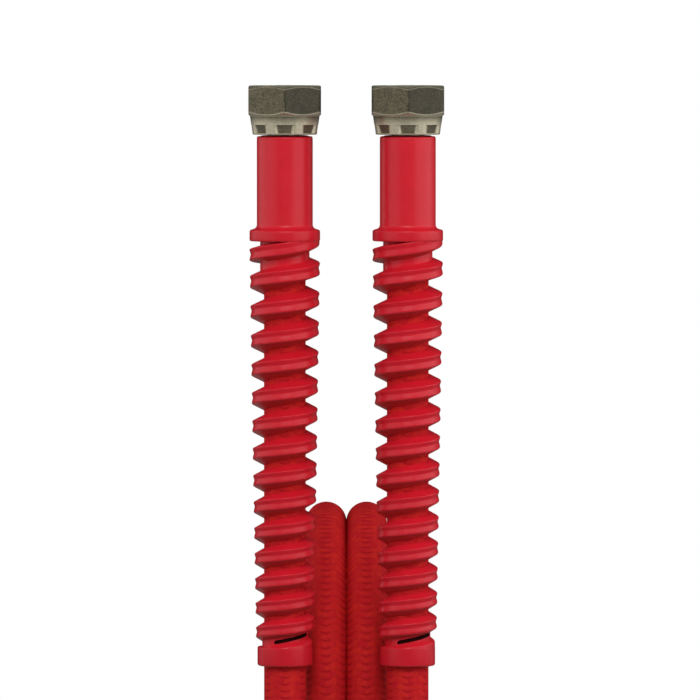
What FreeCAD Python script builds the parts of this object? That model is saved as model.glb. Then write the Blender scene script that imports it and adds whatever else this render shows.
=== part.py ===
import FreeCAD, Part
import math
import os
import Sketcher
from FreeCAD import Vector

# An air hose that hangs by its two swivel nuts, with its slack folded into a hank below.
# Frame: origin at the centre of the left nut's mouth, +Z up, +X to the right nut and +Y to the
# back. Lengths are in millimetres, and a depth is measured down from the plane of the two mouths.

os.makedirs("parts", exist_ok=True)
doc = FreeCAD.newDocument("hanging_air_hose")

# Driving dimensions
dimensions = {
    # Hose
    "hose_bore": 6.4,
    "liner_wall": 1.5,
    "layer_gap": 0.1,
    "cover_wall": 1.2,
    "strand_gap": 0.45,
    # Swivel nut
    "nut_across_flats": 22,
    "nut_hex_length": 9.2,
    "nut_face_inset": 0.4,
    "nut_bevel": 1.2,
    "nut_floor": 3.0,
    "skirt_inset": 0.4,
    "skirt_taper": 0.85,
    "skirt_edge_round": 0.6,
    "thread_minor_diameter": 14.95,
    "thread_height": 0.855,
    "thread_lead": 0.6,
    "thread_length": 7.6,
    "crimp_count": 7,
    "crimp_angle": 35,
    "crimp_depth": 0.7,
    "crimp_height": 2.5,
    "crimp_margin": 0.5,
    "nut_clearance": 0.25,
    # Seal and hose tail
    "seal_below_thread": 0.3,
    "seal_clearance": 0.375,
    "seal_bore": 7.5,
    "seal_thickness": 1.8,
    "flange_clearance": 0.325,
    "flange_thickness": 2.2,
    "flange_bevel": 0.8,
    "flange_ledge": 0.95,
    "neck_beyond_nut": 0.1,
    "tail_groove_length": 2.2,
    "tail_groove_diameter": 8.4,
    "tail_bore": 4.6,
    "tail_length": 19.8,
    "barb_count": 5,
    "barb_depth": 0.25,
    # Ferrule
    "ferrule_wall": 1.4,
    "ferrule_gap": 0.15,
    "ferrule_cone": 0.25,
    "ferrule_beyond_tail": 1.0,
    "grip_gap": 0.05,
    # Bend restrictor
    "ferrule_showing": 0.25,
    "restrictor_edge_round": 0.6,
    "sleeve_wall": 1.0,
    "sleeve_beyond_ferrule": 5.75,
    "collar_height": 3.5,
    "collar_reach": 2.225,
    "collar_fillet": 1.8,
    "inner_tube_wall": 1.3,
    "inner_tube_length": 10.75,
    "bore_clearance": 0.2,
    "rib_clearance": 0.25,
    "rib_below_collar": 3.45,
    "rib_first_pitch": 9.3,
    "rib_pitch_loss": 0.1462,
    "rib_turns_in_collar": 0.75,
    "rib_turns": 15,
    "rib_top_height": 4.65,
    "rib_bottom_height": 2.55,
    "rib_top_root_width": 7.3,
    "rib_bottom_root_width": 5.9,
    "rib_top_crest_width": 3.5,
    "rib_bottom_crest_width": 2.9,
    "rib_groove": 0.4,
    "rib_end_cover": 2.3,
    "rib_end_inset": 0.1,
    "stem_wall": 0.7,
    "stem_length": 8.1,
    "cuff_inset": 0.4,
    "cuff_above_rib_end": 3.15,
    "cuff_below_rib_end": 2.65,
    # Hank
    "hose_below_cuff": 13.6,
    "crown_above_hank": 53.8,
    "crown_radius": 48,
    "inner_strand_gap": 0.5,
    "inner_strand_setback": 10,
    "loop_run": 100.3,
    "shift_top_run": 34,
    "shift_bottom_run": 18,
    "bight_neck_below": 36,
    "bight_neck_radius": 54,
    "bight_radius": 50,
    # Straps
    "strap_thickness": 1.6,
    "strap_gap": 0.15,
    "strap_width": 16,
    "front_strap_below_hank_start": 10,
    "front_strap_above_turns": 8.7,
    "back_strap_below_crown_turns": 1.8,
}

sheet = doc.addObject("Spreadsheet::Sheet", "dims")
for row, (alias, size) in enumerate(dimensions.items(), start=1):
    sheet.set(f"A{row}", str(size))
    sheet.setAlias(f"A{row}", alias)
doc.recompute()


def size_of(expression):
    """The number that an expression over the sheet has now."""
    return float(sheet.evalExpression(expression))


def origin_part(body, role):
    """One of a body's own origin planes or axes."""
    return next(item for item in body.Origin.OriginFeatures if item.Role == role)


def new_body(name, x_place="0"):
    """An empty body whose axis stands at the given place along X."""
    body = doc.addObject("PartDesign::Body", name)
    body.Label = name
    body.setExpression("Placement.Base.x", x_place)
    return body


def outline(body, name, corners, plane):
    """A closed sketch of straight sides, its corners given as (radius, height) expressions."""
    sketch = body.newObject("Sketcher::SketchObject", f"{body.Name}_{name}_outline")
    sketch.AttachmentSupport = (origin_part(body, plane), [""])
    sketch.MapMode = "FlatFace"
    count = len(corners)
    points = [Vector(size_of(radius), size_of(height), 0) for radius, height in corners]
    for index in range(count):
        sketch.addGeometry(Part.LineSegment(points[index], points[(index + 1) % count]), False)
    for index in range(count):
        sketch.addConstraint(
            Sketcher.Constraint("Coincident", index, 2, (index + 1) % count, 1))
    for index, (radius, height) in enumerate(corners):
        places = (("DistanceX", points[index].x, radius, -2),
                  ("DistanceY", points[index].y, height, -1))
        for kind, start, expression, axis in places:
            if start == 0:
                sketch.addConstraint(Sketcher.Constraint("PointOnObject", index, 1, axis))
                continue
            place = sketch.addConstraint(Sketcher.Constraint(kind, -1, 1, index, 1, start))
            sketch.setExpression(f"Constraints[{place}]", expression)
    return sketch


def turned(body, name, corners, kind="Revolution", plane="XZ_Plane"):
    """Add, or with Groove cut away, a ring whose section has the given corners."""
    sketch = outline(body, name, corners, plane)
    feature = body.newObject(f"PartDesign::{kind}", f"{body.Name}_{name}")
    feature.Profile = sketch
    feature.ReferenceAxis = (sketch, ["V_Axis"])
    feature.Angle = 360
    return feature


def rounded(body, name, base, radius, height, edge_round):
    """Round the circular edge of a feature that has the given radius and height."""
    doc.recompute()
    near = 0.01
    wanted_radius = size_of(radius)
    wanted_height = size_of(height)
    names = []
    for index, edge in enumerate(base.Shape.Edges, start=1):
        if isinstance(edge.Curve, Part.Circle) and abs(edge.Curve.Radius - wanted_radius) < near:
            if abs(edge.Curve.Center.z - wanted_height) < near:
                names.append(f"Edge{index}")
    feature = body.newObject("PartDesign::Fillet", f"{body.Name}_{name}")
    feature.Base = (base, names)
    feature.setExpression("Radius", edge_round)
    return feature


# Radii that pieces share, as expressions over the sheet
liner_radius = "(dims.hose_bore / 2 + dims.liner_wall)"
cover_inner = f"({liner_radius} + dims.layer_gap)"
hose_radius = f"({cover_inner} + dims.cover_wall)"
hose_room = f"({hose_radius} + dims.bore_clearance)"
strand_pitch = f"(2 * {hose_radius} + dims.strand_gap)"
right_end = f"(3 * {strand_pitch})"
inner_strand = f"({right_end} / 2 - {hose_radius} - dims.inner_strand_gap / 2)"
thread_radius = "(dims.thread_minor_diameter / 2)"
flange_radius = f"({thread_radius} - dims.flange_clearance)"
neck_radius = f"({flange_radius} - dims.flange_ledge)"
ferrule_radius = f"({hose_radius} + dims.grip_gap + dims.ferrule_wall)"
ferrule_room = f"({ferrule_radius} + dims.grip_gap)"
inner_tube_radius = f"({hose_room} + dims.inner_tube_wall)"
rib_top_radius = f"({hose_room} + dims.rib_top_height)"
rib_bottom_radius = f"({hose_room} + dims.rib_bottom_height)"
cuff_radius = f"({rib_bottom_radius} - dims.cuff_inset)"

# Depths along an end, each from the one above it
seal_top = "(dims.thread_length + dims.seal_below_thread)"
flange_top = f"({seal_top} + dims.seal_thickness)"
flange_bottom = f"({flange_top} + dims.flange_thickness)"
nut_end = f"({flange_bottom} + dims.nut_floor)"
neck_end = f"({nut_end} + dims.neck_beyond_nut)"
hose_end = f"({neck_end} + dims.tail_groove_length)"
tail_end = f"({hose_end} + dims.tail_length)"
ferrule_top = f"({neck_end} + dims.ferrule_gap)"
ferrule_end = f"({tail_end} + dims.ferrule_beyond_tail)"
restrictor_top = f"({ferrule_top} + dims.ferrule_showing)"
collar_top = f"({ferrule_end} + dims.sleeve_beyond_ferrule)"
collar_bottom = f"({collar_top} + dims.collar_height)"
inner_tube_end = f"({collar_bottom} + dims.inner_tube_length)"
rib_first = f"({collar_bottom} + dims.rib_below_collar)"
rib_fall = "(dims.rib_first_pitch * dims.rib_turns - dims.rib_pitch_loss * dims.rib_turns ^ 2 / 2)"
rib_last = f"({rib_first} + {rib_fall})"
cuff_top = f"({rib_last} - dims.cuff_above_rib_end)"
cuff_bottom = f"({rib_last} + dims.cuff_below_rib_end)"
stem_top = f"({cuff_top} - dims.stem_length)"
hank_start = f"({cuff_bottom} + dims.hose_below_cuff)"
crown_top = f"({hank_start} - dims.crown_above_hank)"


def hexagon_sketch(body, name):
    """Hexagon with a corner towards the front, its size set across the flats."""
    across_corners = "dims.nut_across_flats / sqrt(3)"
    radius = size_of(across_corners)
    angles = [math.radians(60 * k - 90) for k in range(6)]
    corners = [Vector(radius * math.cos(turn), radius * math.sin(turn), 0) for turn in angles]
    sketch = body.newObject("Sketcher::SketchObject", name)
    sketch.AttachmentSupport = (origin_part(body, "XY_Plane"), [""])
    sketch.MapMode = "FlatFace"
    for k in range(6):
        sketch.addGeometry(Part.LineSegment(corners[k], corners[(k + 1) % 6]), False)
    guide = sketch.addGeometry(Part.Circle(Vector(0, 0, 0), Vector(0, 0, 1), radius), True)
    for k in range(6):
        sketch.addConstraint(Sketcher.Constraint("Coincident", k, 2, (k + 1) % 6, 1))
        sketch.addConstraint(Sketcher.Constraint("PointOnObject", k, 1, guide))
    for k in range(1, 6):
        sketch.addConstraint(Sketcher.Constraint("Equal", 0, k))
    sketch.addConstraint(Sketcher.Constraint("Coincident", guide, 3, -1, 1))
    sketch.addConstraint(Sketcher.Constraint("PointOnObject", 0, 1, -2))
    reach = sketch.addConstraint(Sketcher.Constraint("Radius", guide, radius))
    sketch.setExpression(f"Constraints[{reach}]", across_corners)
    return sketch


def swivel_nut(name, x_place):
    """Hexagon with bevelled corners, a tapered skirt with crimp marks, and a stepped bore."""
    body = new_body(name, x_place)
    flats = body.newObject("PartDesign::Pad", f"{name}_flats")
    flats.Profile = hexagon_sketch(body, f"{name}_hexagon")
    flats.Reversed = True
    flats.setExpression("Length", "dims.nut_hex_length")

    # Bevels take the corners off at both ends of the hexagon
    corner = "dims.nut_across_flats / sqrt(3)"
    beyond = f"({corner} + 1)"
    face = "(dims.nut_across_flats / 2 - dims.nut_face_inset)"
    drop = f"dims.nut_bevel * (1 + 1 / ({corner} - {face}))"
    turned(body, "mouth_bevel", [
        (face, "0"),
        (beyond, "0"),
        (beyond, f"-({drop})"),
    ], "Groove")
    turned(body, "under_bevel", [
        (face, "-dims.nut_hex_length"),
        (beyond, f"{drop} - dims.nut_hex_length"),
        (beyond, "-dims.nut_hex_length"),
    ], "Groove")

    neck = f"({neck_radius} + dims.nut_clearance)"
    skirt_top = "(dims.nut_across_flats / 2 - dims.skirt_inset)"
    skirt_end = f"({skirt_top} - dims.skirt_taper)"
    skirt = turned(body, "skirt", [
        (neck, "-dims.nut_hex_length"),
        (skirt_top, "-dims.nut_hex_length"),
        (skirt_end, f"-{nut_end}"),
        (neck, f"-{nut_end}"),
    ])
    rounded(body, "skirt_round", skirt, skirt_end, f"-{nut_end}", "dims.skirt_edge_round")

    # The bore: thread, relief round the seal, a cone that catches the flange, and the neck
    relief = f"{thread_radius} + dims.thread_height"
    seat_top = f"({flange_bottom} - dims.flange_bevel + dims.nut_clearance / 2)"
    turned(body, "bore", [
        ("0", "0"),
        (f"{thread_radius} + dims.thread_lead", "0"),
        (thread_radius, "-dims.thread_lead"),
        (thread_radius, "-dims.thread_length"),
        (relief, "-dims.thread_length"),
        (relief, f"-({flange_top} - dims.thread_height / 2)"),
        (thread_radius, f"-({flange_top} + dims.thread_height / 2)"),
        (thread_radius, f"-{seat_top}"),
        (neck, f"-({seat_top} + {thread_radius} - {neck})"),
        (neck, f"-{nut_end}"),
        ("0", f"-{nut_end}"),
    ], "Groove")

    # Crimp marks: shallow pockets round the skirt, one of them facing the front
    pocket = f"({skirt_end} - dims.crimp_depth)"
    mark_bottom = f"({nut_end} - dims.crimp_margin)"
    mark_top = f"({mark_bottom} - dims.crimp_height)"
    mark = turned(body, "crimp_mark", [
        (pocket, f"-{mark_top}"),
        (beyond, f"-{mark_top}"),
        (beyond, f"-{mark_bottom}"),
        (pocket, f"-{mark_bottom}"),
    ], "Groove", "YZ_Plane")
    mark.Midplane = True
    mark.setExpression("Angle", "dims.crimp_angle")
    marks = body.newObject("PartDesign::PolarPattern", f"{name}_crimp_marks")
    marks.Originals = [mark]
    marks.Axis = (origin_part(body, "Z_Axis"), [""])
    marks.Angle = 360
    marks.setExpression("Occurrences", "dims.crimp_count")
    body.Tip = marks


def seal_washer(name, x_place):
    """Flat seal on the flange, which the nut presses against its port."""
    body = new_body(name, x_place)
    edge = f"({thread_radius} - dims.seal_clearance)"
    turned(body, "ring", [
        ("dims.seal_bore / 2", f"-{seal_top}"),
        (edge, f"-{seal_top}"),
        (edge, f"-{flange_top}"),
        ("dims.seal_bore / 2", f"-{flange_top}"),
    ])


def hose_nipple(name, x_place):
    """Flange, neck, ferrule groove and a barbed tail that fills the hose's bore."""
    body = new_body(name, x_place)
    bevel = "dims.flange_bevel"
    groove = "dims.tail_groove_diameter / 2"
    barb = "(dims.hose_bore / 2 - dims.grip_gap)"
    valley = f"({barb} - dims.barb_depth)"
    corners = [
        ("dims.tail_bore / 2", f"-{flange_top}"),
        (flange_radius, f"-{flange_top}"),
        (flange_radius, f"-({flange_bottom} - {bevel})"),
        (f"{flange_radius} - {bevel}", f"-{flange_bottom}"),
        (neck_radius, f"-{flange_bottom}"),
        (neck_radius, f"-{neck_end}"),
        (groove, f"-{neck_end}"),
        (groove, f"-{hose_end}"),
        (barb, f"-{hose_end}"),
    ]
    spacing = "dims.tail_length / (dims.barb_count + 1)"
    for number in range(1, int(size_of("dims.barb_count")) + 1):
        crest = f"({hose_end} + {spacing} * {number})"
        corners.append((barb, f"-{crest}"))
        corners.append((valley, f"-{crest}"))
        corners.append((barb, f"-({crest} + {spacing} * 0.7)"))
    corners.append((valley, f"-{tail_end}"))
    corners.append(("dims.tail_bore / 2", f"-{tail_end}"))
    turned(body, "tail", corners)


def crimp_ferrule(name, x_place):
    """Sleeve pressed over the hose, with a collar that locks in the tail's groove."""
    body = new_body(name, x_place)
    collar = "(dims.tail_groove_diameter / 2 + dims.grip_gap)"
    sleeve = f"({hose_radius} + dims.grip_gap)"
    turned(body, "sleeve", [
        (collar, f"-{ferrule_top}"),
        (f"{ferrule_radius} - 2 * dims.ferrule_cone", f"-{ferrule_top}"),
        (ferrule_radius, f"-({ferrule_top} + dims.ferrule_cone)"),
        (ferrule_radius, f"-{ferrule_end}"),
        (sleeve, f"-{ferrule_end}"),
        (sleeve, f"-{hose_end}"),
        (collar, f"-{hose_end}"),
    ])


def rib_depth(turn):
    """Depth of the rib's groove on the left side, some turns below its first place there."""
    pitch = size_of("dims.rib_first_pitch")
    loss = size_of("dims.rib_pitch_loss")
    return size_of(rib_first) + pitch * turn - loss * turn ** 2 / 2


def rib_spine():
    """The rib's line: a right-handed spiral whose pitch shrinks evenly, an edge for each turn."""
    surface = Part.Cylinder()
    surface.Radius = size_of(inner_tube_radius)
    first = -size_of("dims.rib_turns_in_collar")
    last = size_of("dims.rib_turns")
    count = math.ceil(last - first)
    edges = []
    for index in range(count):
        start = first + (last - first) * index / count
        end = first + (last - first) * (index + 1) / count
        turns = (start, (start + end) / 2, end)
        heights = [-rib_depth(turn) for turn in turns]
        heights[1] = 2 * heights[1] - (heights[0] + heights[2]) / 2
        poles = [FreeCAD.Base.Vector2d(math.pi - 2 * math.pi * turn, height)
                 for turn, height in zip(turns, heights)]
        curve = Part.Geom2d.BezierCurve2d()
        curve.setPoles(poles)
        edges.append(curve.toShape(surface))
    return edges


def rib_section(at, crest_radius, root_width, crest_width):
    """The rib's section in the plane through the axis: a trapezoid with a grooved crest."""
    outward = Vector(at.x, at.y, 0).normalize()
    root = size_of(f"{hose_room} + dims.rib_clearance")
    crest = size_of(crest_radius)
    root_half = size_of(root_width) / 2
    crest_half = size_of(crest_width) / 2
    corners = [(root, -root_half), (crest, -crest_half), (crest - size_of("dims.rib_groove"), 0),
               (crest, crest_half), (root, root_half)]
    points = [outward * radius + Vector(0, 0, at.z + rise) for radius, rise in corners]
    return Part.makePolygon(points + points[:1])


def rib_solid():
    """The spiral rib before it is trimmed, tapering from the collar to the cuff."""
    edges = rib_spine()
    start = edges[0].valueAt(edges[0].FirstParameter)
    end = edges[-1].valueAt(edges[-1].LastParameter)
    pipe = Part.BRepOffsetAPI.MakePipeShell(Part.Wire(edges))
    pipe.setBiNormalMode(Vector(0, 0, 1))
    pipe.add(rib_section(start, rib_top_radius, "dims.rib_top_root_width",
                         "dims.rib_top_crest_width"))
    pipe.add(rib_section(end, rib_bottom_radius, "dims.rib_bottom_root_width",
                         "dims.rib_bottom_crest_width"))
    pipe.build()
    pipe.makeSolid()
    return pipe.shape()


def bend_restrictor(name):
    """One moulding: sleeve over the ferrule, collar, inner tube, spiral rib, stem and cuff."""
    sleeve = new_body("restrictor_sleeve")
    sleeve_radius = f"({ferrule_room} + dims.sleeve_wall)"
    collar_radius = f"{sleeve_radius} + dims.collar_reach"
    step = f"({ferrule_end} + dims.bore_clearance)"
    ring = turned(sleeve, "ring", [
        (ferrule_room, f"-{restrictor_top}"),
        (sleeve_radius, f"-{restrictor_top}"),
        (sleeve_radius, f"-{collar_top}"),
        (collar_radius, f"-{collar_top}"),
        (collar_radius, f"-{collar_bottom}"),
        (inner_tube_radius, f"-{collar_bottom}"),
        (inner_tube_radius, f"-{inner_tube_end}"),
        (hose_room, f"-{inner_tube_end}"),
        (hose_room, f"-{step}"),
        (ferrule_room, f"-{step}"),
    ])
    top = rounded(sleeve, "top_round", ring, sleeve_radius, f"-{restrictor_top}",
                  "dims.restrictor_edge_round")
    rounded(sleeve, "collar_round", top, sleeve_radius, f"-{collar_top}", "dims.collar_fillet")

    cuff = new_body("restrictor_cuff")
    stem_radius = f"({hose_room} + dims.stem_wall)"
    band = turned(cuff, "band", [
        (hose_room, f"-{stem_top}"),
        (stem_radius, f"-{stem_top}"),
        (stem_radius, f"-{cuff_top}"),
        (cuff_radius, f"-{cuff_top}"),
        (cuff_radius, f"-{cuff_bottom}"),
        (hose_room, f"-{cuff_bottom}"),
    ])
    rounded(cuff, "end_round", band, cuff_radius, f"-{cuff_bottom}",
            "dims.restrictor_edge_round")

    # The rib starts inside the collar and ends inside the cuff, so what would pass them is cut
    rib_room = new_body("restrictor_rib_room")
    widest = f"{rib_top_radius} + 1"
    rib_top = f"-({collar_top} + 0.2)"
    rib_end = f"-({cuff_top} - dims.rib_end_cover)"
    rib_floor = f"-({cuff_bottom} - dims.restrictor_edge_round)"
    within_cuff = f"{cuff_radius} - dims.rib_end_inset"
    turned(rib_room, "room", [
        ("0", rib_top),
        (widest, rib_top),
        (widest, rib_end),
        (within_cuff, rib_end),
        (within_cuff, rib_floor),
        ("0", rib_floor),
    ])
    rib = doc.addObject("Part::Feature", "restrictor_rib")
    rib.Shape = rib_solid()
    trimmed = doc.addObject("Part::Common", "restrictor_trimmed_rib")
    trimmed.Base = rib
    trimmed.Tool = rib_room
    upper = doc.addObject("Part::Fuse", "restrictor_sleeve_and_rib")
    upper.Base = sleeve
    upper.Tool = trimmed
    moulding = doc.addObject("Part::Fuse", name)
    moulding.Label = name
    moulding.Base = upper
    moulding.Tool = cuff
    return moulding


def twin(name, source, x_place):
    """A second piece like the source, at another place along X."""
    piece = doc.addObject("Part::Feature", name)
    piece.Label = name
    piece.Shape = source.Shape.copy()
    piece.setExpression("Placement.Base.x", x_place)


def straight_layer(name, x_place, outer, inner):
    """One layer of the hose from its end in the ferrule to the hank."""
    body = new_body(name, x_place)
    turned(body, "tube", [
        (inner, f"-{hose_end}"),
        (outer, f"-{hose_end}"),
        (outer, f"-{hank_start}"),
        (inner, f"-{hank_start}"),
    ])


def tangent_path(corners, radii):
    """Straight runs between corners, joined by an arc of the given radius at each corner."""
    edges = []
    start = corners[0]
    for before, corner, after, radius in zip(corners, corners[1:], corners[2:], radii):
        back = (before - corner).normalize()
        ahead = (after - corner).normalize()
        half_turn = (math.pi - back.getAngle(ahead)) / 2
        reach = radius * math.tan(half_turn)
        arc_start = corner + back * reach
        arc_end = corner + ahead * reach
        bulge = radius / math.cos(half_turn) - radius
        arc_middle = corner + (back + ahead).normalize() * bulge
        if (arc_start - start).Length > 0.001:
            edges.append(Part.LineSegment(start, arc_start).toShape())
        edges.append(Part.Arc(arc_start, arc_middle, arc_end).toShape())
        start = arc_end
    edges.append(Part.LineSegment(start, corners[-1]).toShape())
    return Part.Wire(edges)


def hank_corners():
    """Corners and radii of the hank's line, from the left run's end to the middle of the bight.

    The left strand goes down to a turn to the back, up, over a crown to the front again and
    down into the bight. The right half is its mirror image, so the hose was folded in two first.
    """
    inner = size_of(inner_strand)
    front = size_of("dims.inner_strand_setback")
    crown_radius = size_of("dims.crown_radius")
    crown = -size_of(crown_top)
    back = front + 2 * crown_radius
    turn_radius = back / 2
    run_top = crown - crown_radius
    run_bottom = run_top - size_of("dims.loop_run")
    bottom = run_bottom - turn_radius
    shift_top = run_top - size_of("dims.shift_top_run")
    shift_bottom = run_bottom + size_of("dims.shift_bottom_run")
    shift_length = math.hypot(inner, shift_top - shift_bottom)
    half_shift = math.atan2(inner, shift_top - shift_bottom) / 2
    shift_radii = [0.45 * min(run, shift_length) / math.tan(half_shift)
                   for run in (size_of("dims.shift_bottom_run"), size_of("dims.shift_top_run"))]
    corners = [
        Vector(0, 0, -size_of(hank_start)),
        Vector(0, 0, bottom),
        Vector(0, back, bottom),
        Vector(0, back, shift_bottom),
        Vector(inner, back, shift_top),
        Vector(inner, back, crown),
        Vector(inner, front, crown),
    ]
    radii = [turn_radius, turn_radius, *shift_radii, crown_radius, crown_radius]

    # The bight: the strand leans outward, then turns round a circle below the hank's middle
    neck = run_bottom - size_of("dims.bight_neck_below")
    neck_radius = size_of("dims.bight_neck_radius")
    radius = size_of("dims.bight_radius")
    middle = size_of(right_end) / 2
    lean = math.acos((neck_radius + middle - inner) / (neck_radius + radius))
    corners.append(Vector(inner, front, neck - neck_radius * math.tan(lean / 2)))
    radii.append(neck_radius)
    centre = Vector(middle, front, neck - (neck_radius + radius) * math.sin(lean))
    step = (math.pi + 2 * lean) / 4
    for number in range(2):
        angle = math.pi - lean + step * (number + 0.5)
        outward = Vector(math.cos(angle), 0, math.sin(angle))
        corners.append(centre + outward * (radius / math.cos(step / 2)))
        radii.append(radius)
    return corners, radii


def hank_line():
    """The hank's whole centre line, mirrored about the middle of the two ends."""
    corners, radii = hank_corners()
    span = size_of(right_end)
    mirrored = [Vector(span - corner.x, corner.y, corner.z) for corner in reversed(corners)]
    print("hank radii", [round(radius, 1) for radius in radii])
    return tangent_path(corners + mirrored, radii + radii[::-1])


def tube_along(line, radius):
    """A round solid along a line that starts straight down."""
    start = line.Vertexes[0].Point
    ring = Part.Wire(Part.Circle(start, Vector(0, 0, -1), radius).toShape())
    tube = line.makePipeShell([ring], True, False)
    print("tube volume over section times length",
          round(tube.Volume / (math.pi * radius ** 2 * line.Length), 5))
    return tube


def hank_layer(name, line, outer, inner):
    """One layer of the hose round the whole hank, as one unbroken tube."""
    layer = doc.addObject("Part::Feature", name)
    layer.Label = name
    layer.Shape = tube_along(line, size_of(outer)).cut(tube_along(line, size_of(inner)))


def least_gap(line, diameter):
    """Least clear distance between turns of a tube, over points 2 mm apart on its line."""
    spacing = 2
    apart = int(4 * diameter / spacing)
    points = line.discretize(Distance=spacing)
    least = min((one - other).Length for index, one in enumerate(points)
                for other in points[index + apart:])
    return least - diameter


def band_outline(centres, radius, height):
    """The tight closed line round equal circles, whose centres go anticlockwise from above."""
    edges = []
    lifted = [Vector(x, y, height) for x, y in centres]
    count = len(lifted)
    for index in range(count):
        before, here, after = lifted[index - 1], lifted[index], lifted[(index + 1) % count]
        arriving = (here - before).normalize()
        leaving = (after - here).normalize()
        out_before = Vector(arriving.y, -arriving.x, 0) * radius
        out_after = Vector(leaving.y, -leaving.x, 0) * radius
        middle = out_before + out_after
        if middle.Length < 0.001:
            middle = Vector(arriving)
        arc = Part.Arc(here + out_before, here + middle.normalize() * radius, here + out_after)
        edges.append(arc.toShape())
        edges.append(Part.LineSegment(here + out_after, after + out_after).toShape())
    return Part.Wire(edges)


def strap(name, centres, depth):
    """A flat strap wrapped once round neighbouring strands, its top at the given depth."""
    inner = size_of(f"{hose_radius} + dims.strap_gap")
    outer = inner + size_of("dims.strap_thickness")
    top = -size_of(depth)
    outlines = [band_outline(centres, radius, top) for radius in (outer, inner)]
    band = Part.makeFace(outlines, "Part::FaceMakerBullseye")
    piece = doc.addObject("Part::Feature", name)
    piece.Label = name
    piece.Shape = band.extrude(Vector(0, 0, -size_of("dims.strap_width")))


# Both ends
for side, x_place in (("left", "0"), ("right", right_end)):
    swivel_nut(f"{side}_swivel_nut", x_place)
    seal_washer(f"{side}_seal_washer", x_place)
    hose_nipple(f"{side}_hose_nipple", x_place)
    crimp_ferrule(f"{side}_crimp_ferrule", x_place)
left_restrictor = bend_restrictor("left_bend_restrictor")
doc.recompute()
twin("right_bend_restrictor", left_restrictor, right_end)

# The hose: straight ends, then the hank
layers = {
    "hose_cover": (hose_radius, cover_inner),
    "hose_liner": (liner_radius, "dims.hose_bore / 2"),
}
line = hank_line()
for layer, (outer, inner) in layers.items():
    straight_layer(f"left_{layer}", "0", outer, inner)
    straight_layer(f"right_{layer}", right_end, outer, inner)
    hank_layer(f"hank_{layer}", line, outer, inner)
end_length = size_of(f"{hank_start} - {hose_end}")
print("hose length", round(line.Length + 2 * end_length, 1))
print("least gap of the hank to itself",
      round(least_gap(line, size_of(f"2 * {hose_radius}")), 3))

# Straps round the four front strands, and round the two back strands below the crowns
inner = size_of(inner_strand)
span = size_of(right_end)
setback = size_of("dims.inner_strand_setback")
back = setback + 2 * size_of("dims.crown_radius")
crown_turns = f"({crown_top} + dims.crown_radius)"
lower_turns = f"({crown_turns} + dims.loop_run)"
front_strands = [(0, 0), (span, 0), (span - inner, setback), (inner, setback)]
strap("front_strap_upper", front_strands, f"{hank_start} + dims.front_strap_below_hank_start")
strap("front_strap_lower", front_strands,
      f"{lower_turns} - dims.front_strap_above_turns - dims.strap_width")
strap("back_strap", [(inner, back), (span - inner, back)],
      f"{crown_turns} + dims.back_strap_below_crown_turns")

doc.recompute()
nodes = [f"{side}_{piece}" for side in ("left", "right") for piece in (
    "swivel_nut", "seal_washer", "hose_nipple", "crimp_ferrule", "bend_restrictor",
    "hose_cover", "hose_liner")]
nodes += ["hank_hose_cover", "hank_hose_liner", "front_strap_upper", "front_strap_lower",
          "back_strap"]
for item in doc.Objects:
    if "Invalid" in item.State or "Error" in item.State:
        raise RuntimeError(f"{item.Label} was not built: {item.State}")
for node in nodes:
    shape = doc.getObjectsByLabel(node)[0].Shape
    if shape.isNull() or not shape.isValid() or len(shape.Solids) != 1:
        raise RuntimeError(f"{node} is not one valid solid")
for node in nodes:
    doc.getObjectsByLabel(node)[0].Shape.exportStep(f"parts/{node}.step")
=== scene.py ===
import math

import bpy
import numpy as np
from mathutils import Matrix, Vector


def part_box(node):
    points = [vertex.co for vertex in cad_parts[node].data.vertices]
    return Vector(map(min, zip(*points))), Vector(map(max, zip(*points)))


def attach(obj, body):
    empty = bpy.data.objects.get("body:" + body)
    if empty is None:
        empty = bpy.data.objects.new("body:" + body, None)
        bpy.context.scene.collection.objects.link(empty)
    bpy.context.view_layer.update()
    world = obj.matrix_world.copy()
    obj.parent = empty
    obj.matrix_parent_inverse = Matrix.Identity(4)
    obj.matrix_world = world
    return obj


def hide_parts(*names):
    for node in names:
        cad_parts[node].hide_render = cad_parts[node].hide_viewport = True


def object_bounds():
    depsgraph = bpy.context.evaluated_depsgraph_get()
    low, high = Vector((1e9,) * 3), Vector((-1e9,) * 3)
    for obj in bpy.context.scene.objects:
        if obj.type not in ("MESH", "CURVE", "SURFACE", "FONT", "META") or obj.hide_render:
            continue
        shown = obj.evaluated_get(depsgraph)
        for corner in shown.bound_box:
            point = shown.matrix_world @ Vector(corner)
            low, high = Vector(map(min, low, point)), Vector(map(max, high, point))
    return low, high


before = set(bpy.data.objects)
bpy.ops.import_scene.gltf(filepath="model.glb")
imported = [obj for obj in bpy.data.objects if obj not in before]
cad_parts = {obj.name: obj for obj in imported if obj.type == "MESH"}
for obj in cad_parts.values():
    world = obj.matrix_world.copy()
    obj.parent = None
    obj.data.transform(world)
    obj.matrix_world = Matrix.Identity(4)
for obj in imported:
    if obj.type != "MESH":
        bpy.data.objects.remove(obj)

# An air hose that hangs by two swivel nuts, dressed for the camera. Lengths are in metres, in the
# CAD frame: origin at the left nut's mouth, +Z up, +X to the right nut, +Y to the back.
MM = 0.001
cad_low, cad_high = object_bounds()
SIDES = ("left", "right")
seal_low, seal_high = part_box("right_seal_washer")
END_SPAN = (seal_low.x + seal_high.x) / 2
PLACES = {"left": 0.0, "right": END_SPAN}


def mesh_object(name, points, faces, materials):
    """A smooth mesh object from points in metres."""
    mesh = bpy.data.meshes.new(name)
    mesh.from_pydata([tuple(point) for point in points], [], faces)
    mesh.update()
    for material in materials:
        mesh.materials.append(material)
    mesh.shade_smooth()
    piece = bpy.data.objects.new(name, mesh)
    bpy.context.scene.collection.objects.link(piece)
    return piece


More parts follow.
